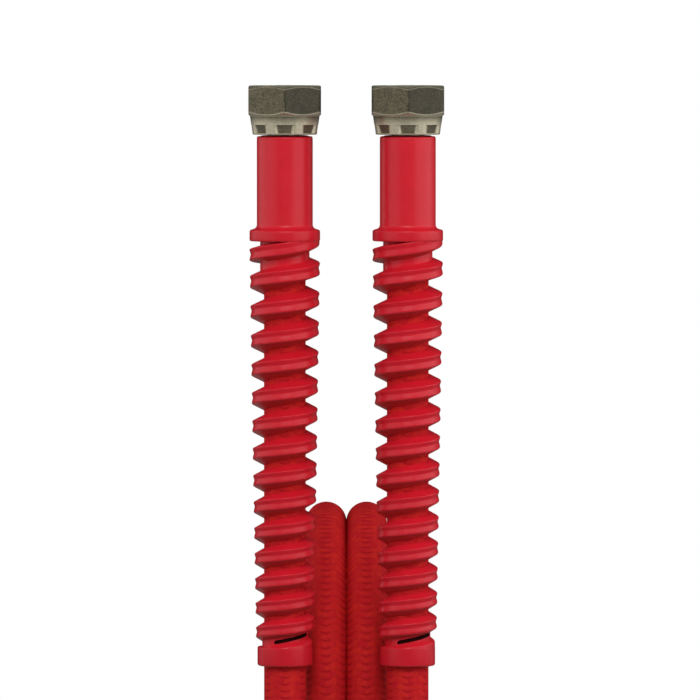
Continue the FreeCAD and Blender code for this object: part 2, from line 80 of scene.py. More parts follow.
def grid_faces(rows, columns, close_rows, close_columns):
    """Quads over a grid of points numbered row by row."""
    faces = []
    for row in range(rows if close_rows else rows - 1):
        below = (row + 1) % rows
        for column in range(columns if close_columns else columns - 1):
            right = (column + 1) % columns
            faces.append((row * columns + column, row * columns + right,
                          below * columns + right, below * columns + column))
    return faces


def sharpen(piece, degrees):
    """Mark the edges that bend by more than the angle as sharp."""
    piece.data.set_sharp_from_angle(angle=math.radians(degrees))


def eased(corners, rounds, steps=3):
    """A profile whose corners are rounded by curves that reach the given lengths along its runs."""
    profile = []
    count = len(corners)
    for index, (corner, reach) in enumerate(zip(corners, rounds)):
        if reach == 0:
            profile.append(corner)
            continue
        before, after = corners[index - 1], corners[(index + 1) % count]
        start = corner + (before - corner) * min(reach / np.linalg.norm(before - corner), 0.49)
        end = corner + (after - corner) * min(reach / np.linalg.norm(after - corner), 0.49)
        for step in range(steps + 1):
            at = step / steps
            profile.append((1 - at) ** 2 * start + 2 * at * (1 - at) * corner + at ** 2 * end)
    return profile


def between(start, end, at):
    return start + (end - start) * at


def point(radius, height):
    """A profile point in millimetres."""
    return np.array((radius, height), float)


def turned_mesh(name, profile, columns, x_place, materials):
    """A ring turned about the vertical axis at x_place from a closed profile in millimetres."""
    radius, height = np.array(profile).T
    turn = np.linspace(0, 2 * math.pi, columns, endpoint=False)
    points = np.empty((columns, len(profile), 3))
    points[..., 0] = x_place / MM + np.outer(np.cos(turn), radius)
    points[..., 1] = np.outer(np.sin(turn), radius)
    points[..., 2] = height
    faces = grid_faces(columns, len(profile), True, True)
    return mesh_object(name, points.reshape(-1, 3) * MM, faces, materials)


# Materials
class Tree:
    """Short ways to add nodes to a node tree."""

    def __init__(self, tree):
        self.tree = tree

    def add(self, kind, links=(), **values):
        node = self.tree.nodes.new("ShaderNode" + kind)
        for key, value in values.items():
            setattr(node, key, value)
        for socket, source in dict(links).items():
            if isinstance(source, bpy.types.NodeSocket):
                self.tree.links.new(source, node.inputs[socket])
            else:
                node.inputs[socket].default_value = source
        return node

    def math(self, operation, first, second=0.0, third=0.0, clamp=False):
        node = self.add("Math", {0: first, 1: second, 2: third}, operation=operation,
                        use_clamp=clamp)
        return node.outputs[0]

    def noise(self, scale, detail=3.0, roughness=0.5, vector=None):
        place = vector or self.add("TexCoord").outputs["Object"]
        node = self.add("TexNoise", {"Vector": place, "Scale": scale, "Detail": detail,
                                     "Roughness": roughness})
        return node.outputs["Fac"]

    def stretched(self, factors):
        """Object coordinates scaled along each axis."""
        place = self.add("TexCoord").outputs["Object"]
        node = self.add("VectorMath", {0: place, 1: factors}, operation="MULTIPLY")
        return node.outputs[0]

    def spread(self, value, low, high, out_low=0.0, out_high=1.0):
        node = self.add("MapRange", {"Value": value, "From Min": low, "From Max": high,
                                     "To Min": out_low, "To Max": out_high})
        return node.outputs[0]

    def mix(self, factor, first, second):
        node = self.add("Mix", data_type="RGBA")
        for socket, source in ((node.inputs[0], factor), (node.inputs[6], first),
                               (node.inputs[7], second)):
            if isinstance(source, bpy.types.NodeSocket):
                self.tree.links.new(source, socket)
            else:
                socket.default_value = source if isinstance(source, float) else (*source, 1)
        return node.outputs[2]


class Nodes(Tree):
    """A new material with a principled shader."""

    def __init__(self, name):
        self.material = bpy.data.materials.new(name)
        self.material.use_nodes = True
        super().__init__(self.material.node_tree)
        self.shader = self.tree.nodes["Principled BSDF"]

    def bump(self, height, distance, strength=1.0):
        node = self.add("Bump", {"Height": height, "Distance": distance, "Strength": strength})
        self.tree.links.new(node.outputs[0], self.shader.inputs["Normal"])

    def set(self, **sockets):
        for name, source in sockets.items():
            socket = self.shader.inputs[name.replace("_", " ")]
            if isinstance(source, bpy.types.NodeSocket):
                self.tree.links.new(source, socket)
            else:
                socket.default_value = source


def plated_metal(name, dark, light, edge, roughness, aged=False):
    """Matt plating: cloudy stains and fine grain.

    Aged plating is rubbed lighter and tarnished darker where its mesh's attributes say so. The
    lighter edges and crimp flanks are partly painted highlight, and the darker crimp pockets and
    front-right flat are painted shade.
    """
    made = Nodes(name)
    clouds = made.noise(450, 5, 0.75)
    grain = made.noise(2600, 2, 0.6)
    both = made.math("MULTIPLY_ADD", grain, 0.7, made.math("MULTIPLY", clouds, 0.35))
    colour = made.mix(made.spread(both, 0.4, 0.66), dark, light)
    if aged:
        # Darkening from the tarnish attribute: tarnish, plus painted shade on the front-right flat
        tarnish_and_shade = made.add("Attribute", attribute_name="tarnish_and_shade").outputs["Fac"]
        colour = made.mix(tarnish_and_shade, colour, tuple(c * 0.1 for c in dark))
        # Lightening from the wear attribute: wear plus painted highlight on edges and crimp flanks;
        # its low value in the crimp pockets is painted shade
        wear_and_painted_light = made.add("Attribute", attribute_name="wear_and_painted_light").outputs["Fac"]
        patchy = made.math("MULTIPLY", wear_and_painted_light, made.spread(grain, 0.3, 0.65, 0.7, 1.0))
        colour = made.mix(patchy, colour, edge)
    made.set(Base_Color=colour, Metallic=0.6,
             Roughness=made.spread(both, 0.35, 0.75, roughness - 0.08, roughness + 0.1))
    made.bump(grain, 0.00004, 0.7)
    return made.material


def moulded_plastic(name, base, deep, underside_shade, roughness):
    """Satin moulding: faintly cloudy, with painted shade that turns its downward faces a greyer,
    darker red, and a fine grain in its gloss.
    """
    made = Nodes(name)
    clouds = made.noise(160, 3)
    colour = made.mix(made.spread(clouds, 0.35, 0.65), deep, base)
    # Painted shade: faces that point down get a greyer, darker red
    facing = made.add("SeparateXYZ", {0: made.add("NewGeometry").outputs["Normal"]}).outputs[2]
    colour = made.mix(made.spread(facing, -0.3, -0.75), colour, underside_shade)
    grain = made.noise(3800, 2, 0.5)
    made.set(Base_Color=colour, Specular_IOR_Level=0.25,
             Roughness=made.spread(made.noise(900, 3), 0.3, 0.7, roughness - 0.04,
                                   roughness + 0.06))
    made.bump(grain, 0.000025, 0.5)
    return made.material


def moulded_rubber(name, colour, gloss):
    """Matt rubber, or the near-black painted shade of a hollow, faintly cloudy."""
    made = Nodes(name)
    clouds = made.noise(700, 4)
    made.set(Base_Color=made.mix(clouds, tuple(c * 0.6 for c in colour), colour),
             Specular_IOR_Level=gloss,
             Roughness=made.spread(clouds, 0.3, 0.7, 0.55, 0.75))
    made.bump(made.noise(5000, 2), 0.00003, 0.5)
    return made.material


def braided_yarn(name, base, light, gap_shade, columns):
    """Braid of a hose cover: columns of yarn floats that meet in soft chevrons.

    The mesh's map runs round the hose once per unit and along it once per chevron. The gaps
    between floats are deepest where two columns meet in downward tips, and painted shade
    darkens them most there. Each float has a tint of its own, held back by painted shade in
    the valleys.
    """
    made = Nodes(name)
    place = made.add("UVMap", uv_map="braid").outputs[0]
    split = made.add("SeparateXYZ", {0: place})
    column = made.math("FRACT", made.math("MULTIPLY", split.outputs[0], float(columns)))
    lean = made.math("ABSOLUTE", made.math("MULTIPLY_ADD", column, 2.0, -1.0))
    lean = made.math("SMOOTH_MIN", made.math("SMOOTH_MAX", lean, 0.1, 0.3), 0.92, 0.3)
    phase = made.math("ADD", split.outputs[1], made.math("MULTIPLY", lean, 0.5))
    across = made.math("MULTIPLY_ADD", made.math("FRACT", phase), 2.0, -1.0)
    ridge = made.math("SUBTRACT", 1.0, made.math("MULTIPLY", across, across))
    valley = made.spread(lean, 0.35, 0.7, 0.1, 1.0)
    meeting = made.math("MAXIMUM", valley, made.spread(lean, 0.15, 0.35, 0.4, 0.1))
    furrow = made.math("MULTIPLY", made.spread(ridge, 0.0, 0.75, 1.0, 0.0), meeting)
    fibres = made.add("CombineXYZ", {0: made.math("MULTIPLY", lean, 6.0),
                                     1: made.math("MULTIPLY", phase, 11.0)})
    strands = made.noise(1.4, 2, 0.6, fibres.outputs[0])
    patches = made.noise(640, 3)
    furrow = made.math("MULTIPLY", furrow, made.spread(patches, 0.35, 0.6, 0.55, 1.0))
    number = made.math("FLOOR", made.math("MULTIPLY", split.outputs[0], 2.0 * columns))
    row = made.math("FLOOR", phase)
    float_key = made.add("CombineXYZ", {0: number, 1: row}).outputs[0]
    own = made.add("TexWhiteNoise", {"Vector": float_key}).outputs["Value"]
    varied = made.math("MULTIPLY_ADD", own, 0.4, made.math("ADD", strands, patches))
    tint = made.spread(varied, 0.85, 1.55, 0.0, 1.0)
    # Painted shade: each float's tint darkens toward the valleys between ridges
    shaded = made.math("MULTIPLY", valley, made.spread(ridge, 0.3, 1.0, 1.0, 0.0))
    tint = made.math("MULTIPLY", tint, made.spread(shaded, 0.0, 1.0, 1.0, 0.2))
    # Painted shade: the gap colour fills the furrows between floats
    colour = made.mix(made.math("MULTIPLY", furrow, 0.6), made.mix(tint, base, light), gap_shade)
    made.set(Base_Color=colour, Roughness=0.75, Specular_IOR_Level=0.06)
    height = made.math("MULTIPLY_ADD", strands, 0.12, made.math("SUBTRACT", 1.0, furrow))
    made.bump(height, 0.00016, 0.45)
    return made.material


def strap_fabric(name, base, light):
    """Loop side of a fastening tape: short curled pile in rows."""
    made = Nodes(name)
    rows = made.noise(1500, 3, 0.7, made.stretched((1.0, 1.0, 2.2)))
    pile = made.noise(5200, 2, 0.7)
    height = made.math("ADD", rows, made.math("MULTIPLY", pile, 0.6))
    made.set(Base_Color=made.mix(made.spread(height, 0.6, 1.05), base, light), Roughness=0.9,
             Specular_IOR_Level=0.15, Sheen_Weight=0.35, Sheen_Roughness=0.5)
    made.bump(height, 0.0003, 0.9)
    return made.material


# Its third colour is the rubbed colour, also used as painted highlight
nut_metal = plated_metal("nut_metal", (0.038, 0.032, 0.018), (0.16, 0.142, 0.086),
                         (0.74, 0.67, 0.49), 0.4, aged=True)
tail_metal = plated_metal("tail_metal", (0.30, 0.28, 0.23), (0.5, 0.48, 0.41),
                          (0.7, 0.68, 0.6), 0.35)
ferrule_metal = plated_metal("ferrule_metal", (0.03, 0.03, 0.028), (0.09, 0.088, 0.08),
                             (0.3, 0.3, 0.28), 0.45)
# The third colour is painted shade for the moulding's downward faces
restrictor_red = moulded_plastic("restrictor_red", (0.65, 0.011, 0.025),
                                 (0.62, 0.010, 0.022), (0.54, 0.034, 0.036), 0.32)
# Painted shade: a near-black colour for the walls of the slot under the last rib
slot_painted_shade = moulded_rubber("slot_painted_shade", (0.022, 0.003, 0.003), 0.02)
seal_rubber = moulded_rubber("seal_rubber", (0.03, 0.03, 0.032), 0.4)
BRAID_COLUMNS = 6
# The third colour is painted shade for the gaps between floats
braid_red = braided_yarn("braid_red", (0.55, 0.011, 0.020), (0.69, 0.025, 0.019),
                         (0.30, 0.006, 0.007), BRAID_COLUMNS)
strap_black = strap_fabric("strap_black", (0.012, 0.012, 0.014), (0.06, 0.06, 0.065))

for side in SIDES:
    for node, material in (("seal_washer", seal_rubber), ("hose_nipple", tail_metal),
                           ("crimp_ferrule", ferrule_metal)):
        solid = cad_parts[f"{side}_{node}"]
        solid.data.materials.clear()
        solid.data.materials.append(material)

# Swivel nut, in millimetres
ACROSS_FLATS = 22.0
HEX_LENGTH = 9.2
FACE_RADIUS = 10.6
BEVEL = 1.2
CORNER_RADIUS = ACROSS_FLATS / math.sqrt(3)
SKIRT_TOP_RADIUS = 10.6
SKIRT_END_RADIUS = 9.75
NUT_LENGTH = 14.9
NECK_HOLE_RADIUS = 6.45
THREAD_MINOR_RADIUS = 7.475
THREAD_MAJOR_RADIUS = 8.33
THREAD_PITCH = 25.4 / 19
THREAD_LENGTH = 7.6
RELIEF_END = 9.27
SEAT_TOP = 11.225
CRIMP_COUNT = 7
CRIMP_TOP = 11.9
CRIMP_BOTTOM = 14.35
CRIMP_HALF_ANGLE = 19.5
CRIMP_NARROWING = 1.6
CRIMP_FLANK_ANGLE = 7
CRIMP_TOP_DEPTH = 0.55
CRIMP_BOTTOM_DEPTH = 0.95
CRIMP_ROWS = 6
HEX_SHARPNESS = 45
LEAD_WIDTH = 0.6
THREAD_ROWS = 72
NUT_COLUMNS = 480
# Wear goes from 0 to 1, and tarnish is given for each flat, anticlockwise from +X. Wear also
# carries painted highlight on the edges and crimp flanks and painted shade in the crimp pockets;
# the front-right flat's tarnish is painted shade.
FLAT_WEAR = 0.0
SKIRT_WEAR = 0.8
# The front-right flat (300 degrees) gets 0.6 as painted shade; the other values are tarnish
FLAT_TARNISH_AND_SHADE = (0.3, 0.1, 0.4, 0.2, 0.0, 0.6)


def hex_radius(turn):
    """Distance from the axis to the hexagon, whose corners are slightly rounded."""
    angles = [math.radians(60 * k) for k in range(6)]
    total = sum(math.exp(HEX_SHARPNESS * (math.cos(turn - angle) - 1)) for angle in angles)
    return ACROSS_FLATS / 2 / (1 + math.log(total) / HEX_SHARPNESS)


def skirt_radius(depth):
    """Radius of the skirt's cone at a depth."""
    along = (depth - HEX_LENGTH) / (NUT_LENGTH - HEX_LENGTH)
    return SKIRT_TOP_RADIUS + (SKIRT_END_RADIUS - SKIRT_TOP_RADIUS) * along


def crimp_press(turn, depth):
    """How far inside a crimp mark an angle and depth are, and how deep it is pressed there."""
    spacing = 360 / CRIMP_COUNT
    off = abs((math.degrees(turn) + 90 + spacing / 2) % spacing - spacing / 2)
    along = (depth - CRIMP_TOP) / (CRIMP_BOTTOM - CRIMP_TOP)
    half = CRIMP_HALF_ANGLE - CRIMP_NARROWING * along
    within = min(max((half - off) / CRIMP_FLANK_ANGLE, 0), 1)
    within = within * within * (3 - 2 * within)
    return within, within * (CRIMP_TOP_DEPTH + (CRIMP_BOTTOM_DEPTH - CRIMP_TOP_DEPTH) * along)


def nut_column(turn):
    """The nut's closed profile at one angle, and how worn each of its points is, a value that also
    holds painted highlight and shade.
    """
    edge = hex_radius(turn)
    fall = BEVEL * (edge - FACE_RADIUS) / (CORNER_RADIUS - FACE_RADIUS)
    corners, rounds, wear_and_light_list = [], [], []

    def corner(radius, depth, reach=0.0, wear_and_painted_light=0.0):
        corners.append(point(radius, -depth))
        rounds.append(reach)
        wear_and_light_list.append(wear_and_painted_light)

    lead = THREAD_MINOR_RADIUS + LEAD_WIDTH
    # The light values on the edge rows are wear and painted highlight
    corner(lead, 0, 0.12, 0.7)
    corner(FACE_RADIUS, 0, 0.12, 0.6)
    corner(edge, fall, 0.16, 0.2)
    corner(edge, fall + 0.4, 0, FLAT_WEAR)
    corner(edge, HEX_LENGTH - fall - 0.4, 0, FLAT_WEAR)
    corner(edge, HEX_LENGTH - fall, 0.12, 0.6)
    corner(FACE_RADIUS, HEX_LENGTH, 0.04, 0.8)
    corner(SKIRT_TOP_RADIUS - 0.03, HEX_LENGTH + 0.2, 0.08, 0.1)
    above = CRIMP_TOP - 0.35
    corner(skirt_radius(above), above, 0, SKIRT_WEAR)
    marked = crimp_press(turn, CRIMP_TOP)[0]
    corner(skirt_radius(CRIMP_TOP - 0.05), CRIMP_TOP - 0.05, 0, between(SKIRT_WEAR, 0.9, marked))
    # Crimp pockets are painted darker, as painted shade, and their flanks lighter, as painted
    # highlight
    for step in range(CRIMP_ROWS + 1):
        depth = CRIMP_TOP + (CRIMP_BOTTOM - CRIMP_TOP) * step / CRIMP_ROWS
        within, pressed = crimp_press(turn, depth)
        flank = 4 * within * (1 - within)
        corner(skirt_radius(depth) - pressed, depth, 0,
               between(between(SKIRT_WEAR, 0.1, within), 0.75, flank))
    corner(skirt_radius(CRIMP_BOTTOM + 0.12), CRIMP_BOTTOM + 0.12, 0, 0.9)
    corner(SKIRT_END_RADIUS, NUT_LENGTH, 0.4, 0.6)
    corner(NECK_HOLE_RADIUS, NUT_LENGTH, 0.2, 0.3)
    corner(NECK_HOLE_RADIUS, SEAT_TOP + THREAD_MINOR_RADIUS - NECK_HOLE_RADIUS)
    corner(THREAD_MINOR_RADIUS, SEAT_TOP)
    corner(THREAD_MINOR_RADIUS, RELIEF_END + THREAD_MAJOR_RADIUS - THREAD_MINOR_RADIUS)
    corner(THREAD_MAJOR_RADIUS, RELIEF_END)
    corner(THREAD_MAJOR_RADIUS, THREAD_LENGTH)
    profile = eased(corners, rounds)
    spread = []
    for wear_and_painted_light, reach in zip(wear_and_light_list, rounds):
        spread += [wear_and_painted_light] if reach == 0 else [wear_and_painted_light] * 4

    # The thread's ridges climb the bore, and start shallow at the lead and at the relief
    for row in range(THREAD_ROWS):
        depth = THREAD_LENGTH * (1 - (row + 0.5) / THREAD_ROWS)
        phase = (-depth / THREAD_PITCH - turn / (2 * math.pi)) % 1
        groove = min(max(1.5 - abs(4 * phase - 2) * 1.25, 0), 1)
        cut = THREAD_MINOR_RADIUS + (THREAD_MAJOR_RADIUS - THREAD_MINOR_RADIUS) * groove
        profile.append(point(max(cut, lead - depth), -depth))
        spread.append(0.35 * (1 - groove))
    return profile, spread


def swivel_nut(side):
    """Union nut: hexagon, crimped skirt, seat and inside thread, as one closed mesh."""
    columns, wear_and_light_list, tarnish_and_shade = [], [], []
    for index in range(NUT_COLUMNS):
        turn = 2 * math.pi * index / NUT_COLUMNS
        profile, wear_and_painted_light = nut_column(turn)
        # Each flat's tarnish, with painted shade on the front-right flat
        flat = FLAT_TARNISH_AND_SHADE[round(math.degrees(turn) / 60) % 6]
        tarnish_and_shade.append([flat if radius > FACE_RADIUS and height > -HEX_LENGTH else 0
                        for radius, height in profile])
        columns.append([(PLACES[side] / MM + radius * math.cos(turn), radius * math.sin(turn),
                         height) for radius, height in profile])
        wear_and_light_list.append(wear_and_painted_light)
    points = np.array(columns)
    faces = grid_faces(points.shape[0], points.shape[1], True, True)
    piece = mesh_object(f"{side}_nut", points.reshape(-1, 3) * MM, faces, [nut_metal])
    for name, values in (("wear_and_painted_light", wear_and_light_list), ("tarnish_and_shade", tarnish_and_shade)):
        attribute = piece.data.attributes.new(name, "FLOAT", "POINT")
        attribute.data.foreach_set("value", np.array(values, np.float32).ravel())
    sharpen(piece, 50)
    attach(piece, f"{side}_nut")
    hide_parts(f"{side}_swivel_nut")
    return piece


# Bend restrictor, in millimetres
HOSE_ROOM_RADIUS = 6.38
RESTRICTOR_TOP = 15.4
SLEEVE_RADIUS = 8.5
SLEEVE_BORE_RADIUS = 7.5
FERRULE_STEP = 38.2
COLLAR_TOP = 43.75
COLLAR_BOTTOM = 47.25
COLLAR_RADIUS = 10.725
INNER_TUBE_RADIUS = 7.5
INNER_TUBE_END = 58.0
FIRST_RIB_DROP = 1.1
STEM_TOP = 164.5
STEM_RADIUS = 6.9
CUFF_TOP = 170.6
CUFF_BOTTOM = 176.4
CUFF_RADIUS = 8.35
RIB_FIRST = 50.7
RIB_PITCH = 9.3
RIB_PITCH_LOSS = 0.1462
RIB_TURNS = 15
RIB_TILT = 0.28
RIB_ROOT_RADIUS = 6.45
RIB_STEPS = 96
RIB_SPAN = (-0.75, 14.85)
SLOT_DEPTHS = (169.05, 166.55)
SLOT_AZIMUTHS = (-118.0, -16.0)
SLOT_HALF_HEIGHT = 0.58
SLOT_RADII = (6.55, 7.3)
SLOT_STEPS = 40


def rib_place(turn):
    """Azimuth and depth of the rib's middle, counted in turns from its first place on the left."""
    azimuth = math.pi - 2 * math.pi * turn
    depth = RIB_FIRST + RIB_PITCH * turn - RIB_PITCH_LOSS * turn ** 2 / 2
    near = min(abs(turn) / (0.85 if turn < 0 else 0.5), 1)
    depth += FIRST_RIB_DROP * math.cos(math.pi / 2 * near) ** 2
    return azimuth, depth + RIB_TILT * math.cos(azimuth)


def rib_profile(turn):
    """The rib's closed section as (radius, rise): flanks, and two lobes beside a groove.

    It thins from the collar to the cuff. The first turn is flatter, and the last sinks into
    the cuff without its groove.
    """
    down = min(max(turn / RIB_TURNS, 0), 1)
    root = between(3.65, 2.95, down)
    above = root + np.interp(turn, (-0.5, -0.2, -0.1, 0, 0.5), (0, -1.15, -0.87, -0.65, 0))
    below = root + np.interp(turn, (-0.25, -0.15, -0.06, 0.12, 0.45, 0.8),
                             (0, -0.4, -1.7, -2.3, -1.1, 0))
    lobe = between(1.75, 1.45, down)
    crest = between(10.85, 8.79, down)
    groove = between(0.5, 0.44, down) * np.interp(turn, (-0.5, -0.1), (0, 1))
    crest -= 0.3 * min(max(-turn / 0.4, 0), 1)
    closing = min(max((turn - 14.15) / 0.35, 0), 1)
    crest = between(crest, CUFF_RADIUS - 0.04, closing)
    groove *= 1 - closing
    corners = [point(RIB_ROOT_RADIUS, -below), point(crest, -lobe),
               point(crest - groove, 0.14 * lobe), point(crest, lobe),
               point(RIB_ROOT_RADIUS, above)]
    return eased(corners, (0, 0.55, 0.3, 0.42, 0), 5)


def rib_mesh(name):
    """The spiral rib as a closed mesh that starts in the collar and ends in the cuff."""
    first, last = RIB_SPAN
    count = int((last - first) * RIB_STEPS)
    points = []
    for step in range(count + 1):
        turn = between(first, last, step / count)
        azimuth, depth = rib_place(turn)
        for radius, rise in rib_profile(turn):
            height = min(-depth + rise, -(COLLAR_TOP + 0.3))
            if -depth + rise < -CUFF_TOP:
                radius = min(radius, CUFF_RADIUS - 0.05)
                height = max(height, -(CUFF_BOTTOM - 0.4))
            points.append((radius * math.cos(azimuth), radius * math.sin(azimuth), height))
    width = len(rib_profile(0))
    faces = grid_faces(count + 1, width, False, True)
    faces.append(tuple(range(width)))
    faces.append(tuple(reversed(range(count * width, (count + 1) * width))))
    return mesh_object(name, np.array(points) * MM, faces, [restrictor_red])


def sleeve_mesh(name):
    """Sleeve over the ferrule, collar and inner tube, as one turned shell."""
    corners = [point(SLEEVE_BORE_RADIUS, -RESTRICTOR_TOP), point(SLEEVE_RADIUS, -RESTRICTOR_TOP),
               point(SLEEVE_RADIUS, -COLLAR_TOP + 0.5),
               point(COLLAR_RADIUS, -COLLAR_TOP - 0.15),
               point(COLLAR_RADIUS, -COLLAR_BOTTOM), point(INNER_TUBE_RADIUS, -COLLAR_BOTTOM),
               point(INNER_TUBE_RADIUS, -INNER_TUBE_END), point(HOSE_ROOM_RADIUS, -INNER_TUBE_END),
               point(HOSE_ROOM_RADIUS, -FERRULE_STEP), point(SLEEVE_BORE_RADIUS, -FERRULE_STEP)]
    rounds = (0.1, 0.85, 1.1, 0.55, 0.55, 0.3, 0.4, 0, 0, 0)
    return turned_mesh(name, eased(corners, rounds, 5), 128, 0, [restrictor_red])


def cuff_mesh(name):
    """Stem and end cuff, as one turned shell."""
    corners = [point(HOSE_ROOM_RADIUS, -STEM_TOP), point(STEM_RADIUS, -STEM_TOP),
               point(STEM_RADIUS, -CUFF_TOP), point(CUFF_RADIUS, -CUFF_TOP),
               point(CUFF_RADIUS, -CUFF_BOTTOM), point(HOSE_ROOM_RADIUS, -CUFF_BOTTOM)]
    return turned_mesh(name, eased(corners, (0, 0.3, 0.3, 0.35, 0.75, 0.2), 5), 128, 0,
                       [restrictor_red])


def slot_mesh(name):
    """Cutter for the slot between the last rib and the cuff, rounded at both ends. Its faces carry
    near-black painted shade onto the slot's walls.
    """
    start, end = SLOT_AZIMUTHS
    inner, outer = SLOT_RADII
    points = []
    for step in range(SLOT_STEPS + 1):
        along = step / SLOT_STEPS
        azimuth = math.radians(between(start, end, along))
        reach = min(along, 1 - along) * math.radians(end - start) * STEM_RADIUS
        rounding = reach / SLOT_HALF_HEIGHT
        half = SLOT_HALF_HEIGHT * math.sqrt(min(max(rounding, 0.02), 1) * (2 - min(rounding, 1)))
        middle = -between(*SLOT_DEPTHS, along)
        for radius, rise in ((inner, -half), (outer, -half), (outer, half), (inner, half)):
            points.append((radius * math.cos(azimuth), radius * math.sin(azimuth), middle + rise))
    faces = grid_faces(SLOT_STEPS + 1, 4, False, True)
    faces.append((0, 1, 2, 3))
    faces.append(tuple(reversed(range(SLOT_STEPS * 4, SLOT_STEPS * 4 + 4))))
    return mesh_object(name, np.array(points) * MM, faces, [slot_painted_shade])


def outward(piece):
    """Turn the faces of a closed mesh outward."""
    bpy.context.view_layer.objects.active = piece
    bpy.ops.object.select_all(action="DESELECT")
    piece.select_set(True)
    bpy.ops.object.mode_set(mode="EDIT")
    bpy.ops.mesh.select_all(action="SELECT")
    bpy.ops.mesh.normals_make_consistent(inside=False)
    bpy.ops.object.mode_set(mode="OBJECT")


def joined(base, operation, *others):
    """Apply a boolean of each other mesh to the base, and delete the others."""
    for other in others:
        modifier = base.modifiers.new("join", "BOOLEAN")
        modifier.operation = operation
        modifier.solver = "MANIFOLD"
        modifier.object = other
    graph = bpy.context.evaluated_depsgraph_get()
    mesh = bpy.data.meshes.new_from_object(base.evaluated_get(graph))
    base.modifiers.clear()
    base.data = mesh
    for other in others:
        bpy.data.objects.remove(other)
    return base


def bend_restrictors():
    """One moulding for each end, with the same mesh at both places."""
    moulding = sleeve_mesh("left_restrictor")
    rib = rib_mesh("rib")
    cuff = cuff_mesh("cuff")
    slot = slot_mesh("slot")
    for piece in (moulding, rib, cuff, slot):
        outward(piece)
    joined(moulding, "UNION", rib, cuff)
    # The slot's walls take the near-black painted shade
    moulding.data.materials.append(slot_painted_shade)
    joined(moulding, "DIFFERENCE", slot)
    moulding.data.shade_smooth()
    sharpen(moulding, 38)
    twin = bpy.data.objects.new("right_restrictor", moulding.data.copy())
    twin.data.transform(Matrix.Translation((END_SPAN, 0, 0)))
    bpy.context.scene.collection.objects.link(twin)
    for side, piece in zip(SIDES, (moulding, twin)):
        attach(piece, "root")
        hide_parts(f"{side}_bend_restrictor")


# Hose route, in metres, as part.py has it
SPAN = 37.35 * MM
SETBACK = 10 * MM
CROWN_RADIUS = 48 * MM
INNER = 12.425 * MM
RUN_TOP = -184.2 * MM
RUN_BOTTOM = -284.5 * MM
BACK = SETBACK + 2 * CROWN_RADIUS
LOWER_RADIUS = BACK / 2
SHIFT_TOP = -218.2 * MM
SHIFT_BOTTOM = -266.5 * MM
NECK = -320.5 * MM
NECK_RADIUS = 54 * MM
BIGHT_RADIUS = 50 * MM
HOSE_START = -17.2 * MM
TURN_POINTS = 6


def turn_points(centre, along, aside, radius, start, end, count):
    """Points round an arc, each half a step from its neighbours' touching points."""
    step = (end - start) / count
    reach = radius / math.cos(step / 2)
    points = []
    for number in range(count):
        angle = start + step * (number + 0.5)
        points.append(centre + reach * (along * math.cos(angle) + aside * math.sin(angle)))
    return points


def half_route():
    """Points of the hose's line from its left end to the middle of the bight."""
    back, up, right = Vector((0, 1, 0)), Vector((0, 0, 1)), Vector((1, 0, 0))
    lower_leg = 2 * LOWER_RADIUS * math.tan(math.pi / TURN_POINTS / 2)
    upper_leg = 2 * CROWN_RADIUS * math.tan(math.pi / TURN_POINTS / 2)
    route = [Vector((0, 0, HOSE_START)), Vector((0, 0, RUN_BOTTOM + lower_leg / 2))]
    route += turn_points(Vector((0, LOWER_RADIUS, RUN_BOTTOM)), -back, -up, LOWER_RADIUS,
                         0, math.pi, TURN_POINTS)
    route += [Vector((0, BACK, SHIFT_BOTTOM)), Vector((INNER, BACK, SHIFT_TOP)),
              Vector((INNER, BACK, RUN_TOP - upper_leg / 2))]
    route += turn_points(Vector((INNER, SETBACK + CROWN_RADIUS, RUN_TOP)), back, up,
                         CROWN_RADIUS, 0, math.pi, TURN_POINTS)
    lean = math.acos((NECK_RADIUS + SPAN / 2 - INNER) / (NECK_RADIUS + BIGHT_RADIUS))
    neck_leg = 2 * NECK_RADIUS * math.tan(lean / 4)
    route += [Vector((INNER, SETBACK, RUN_TOP - upper_leg / 2)),
              Vector((INNER, SETBACK, NECK + neck_leg / 2))]
    route += turn_points(Vector((INNER - NECK_RADIUS, SETBACK, NECK)), right, -up, NECK_RADIUS,
                         0, lean, 2)
    centre = Vector((SPAN / 2, SETBACK, NECK - (NECK_RADIUS + BIGHT_RADIUS) * math.sin(lean)))
    route += turn_points(centre, right, up, BIGHT_RADIUS, math.pi - lean, 1.5 * math.pi, 5)
    return route


def hose_line():
    """The hose's smooth centre line, read from its NURBS spline."""
    half = half_route()
    route = half + [Vector((SPAN - p.x, p.y, p.z)) for p in reversed(half)]
    curve = bpy.data.curves.new("hose_route", "CURVE")
    curve.dimensions = "3D"
    spline = curve.splines.new("NURBS")
    spline.points.add(len(route) - 1)
    for at, place in zip(spline.points, route):
        at.co = (*place, 1)
    spline.order_u = 3
    spline.use_endpoint_u = True
    curve.resolution_u = 32
    guide = bpy.data.objects.new("hose_route", curve)
    bpy.context.scene.collection.objects.link(guide)
    graph = bpy.context.evaluated_depsgraph_get()
    mesh = bpy.data.meshes.new_from_object(guide.evaluated_get(graph))
    line = [vertex.co.copy() for vertex in mesh.vertices]
    bpy.data.objects.remove(guide)
    bpy.data.curves.remove(curve)
    bpy.data.meshes.remove(mesh)
    return line


def evenly(line, spacing):
    """Points an even distance apart along a line."""
    places = np.array(line)
    steps = np.linalg.norm(np.diff(places, axis=0), axis=1)
    reached = np.concatenate(([0], np.cumsum(steps)))
    count = round(reached[-1] / spacing)
    wanted = np.linspace(0, reached[-1], count + 1)
    return np.stack([np.interp(wanted, reached, places[:, axis]) for axis in range(3)], 1), wanted


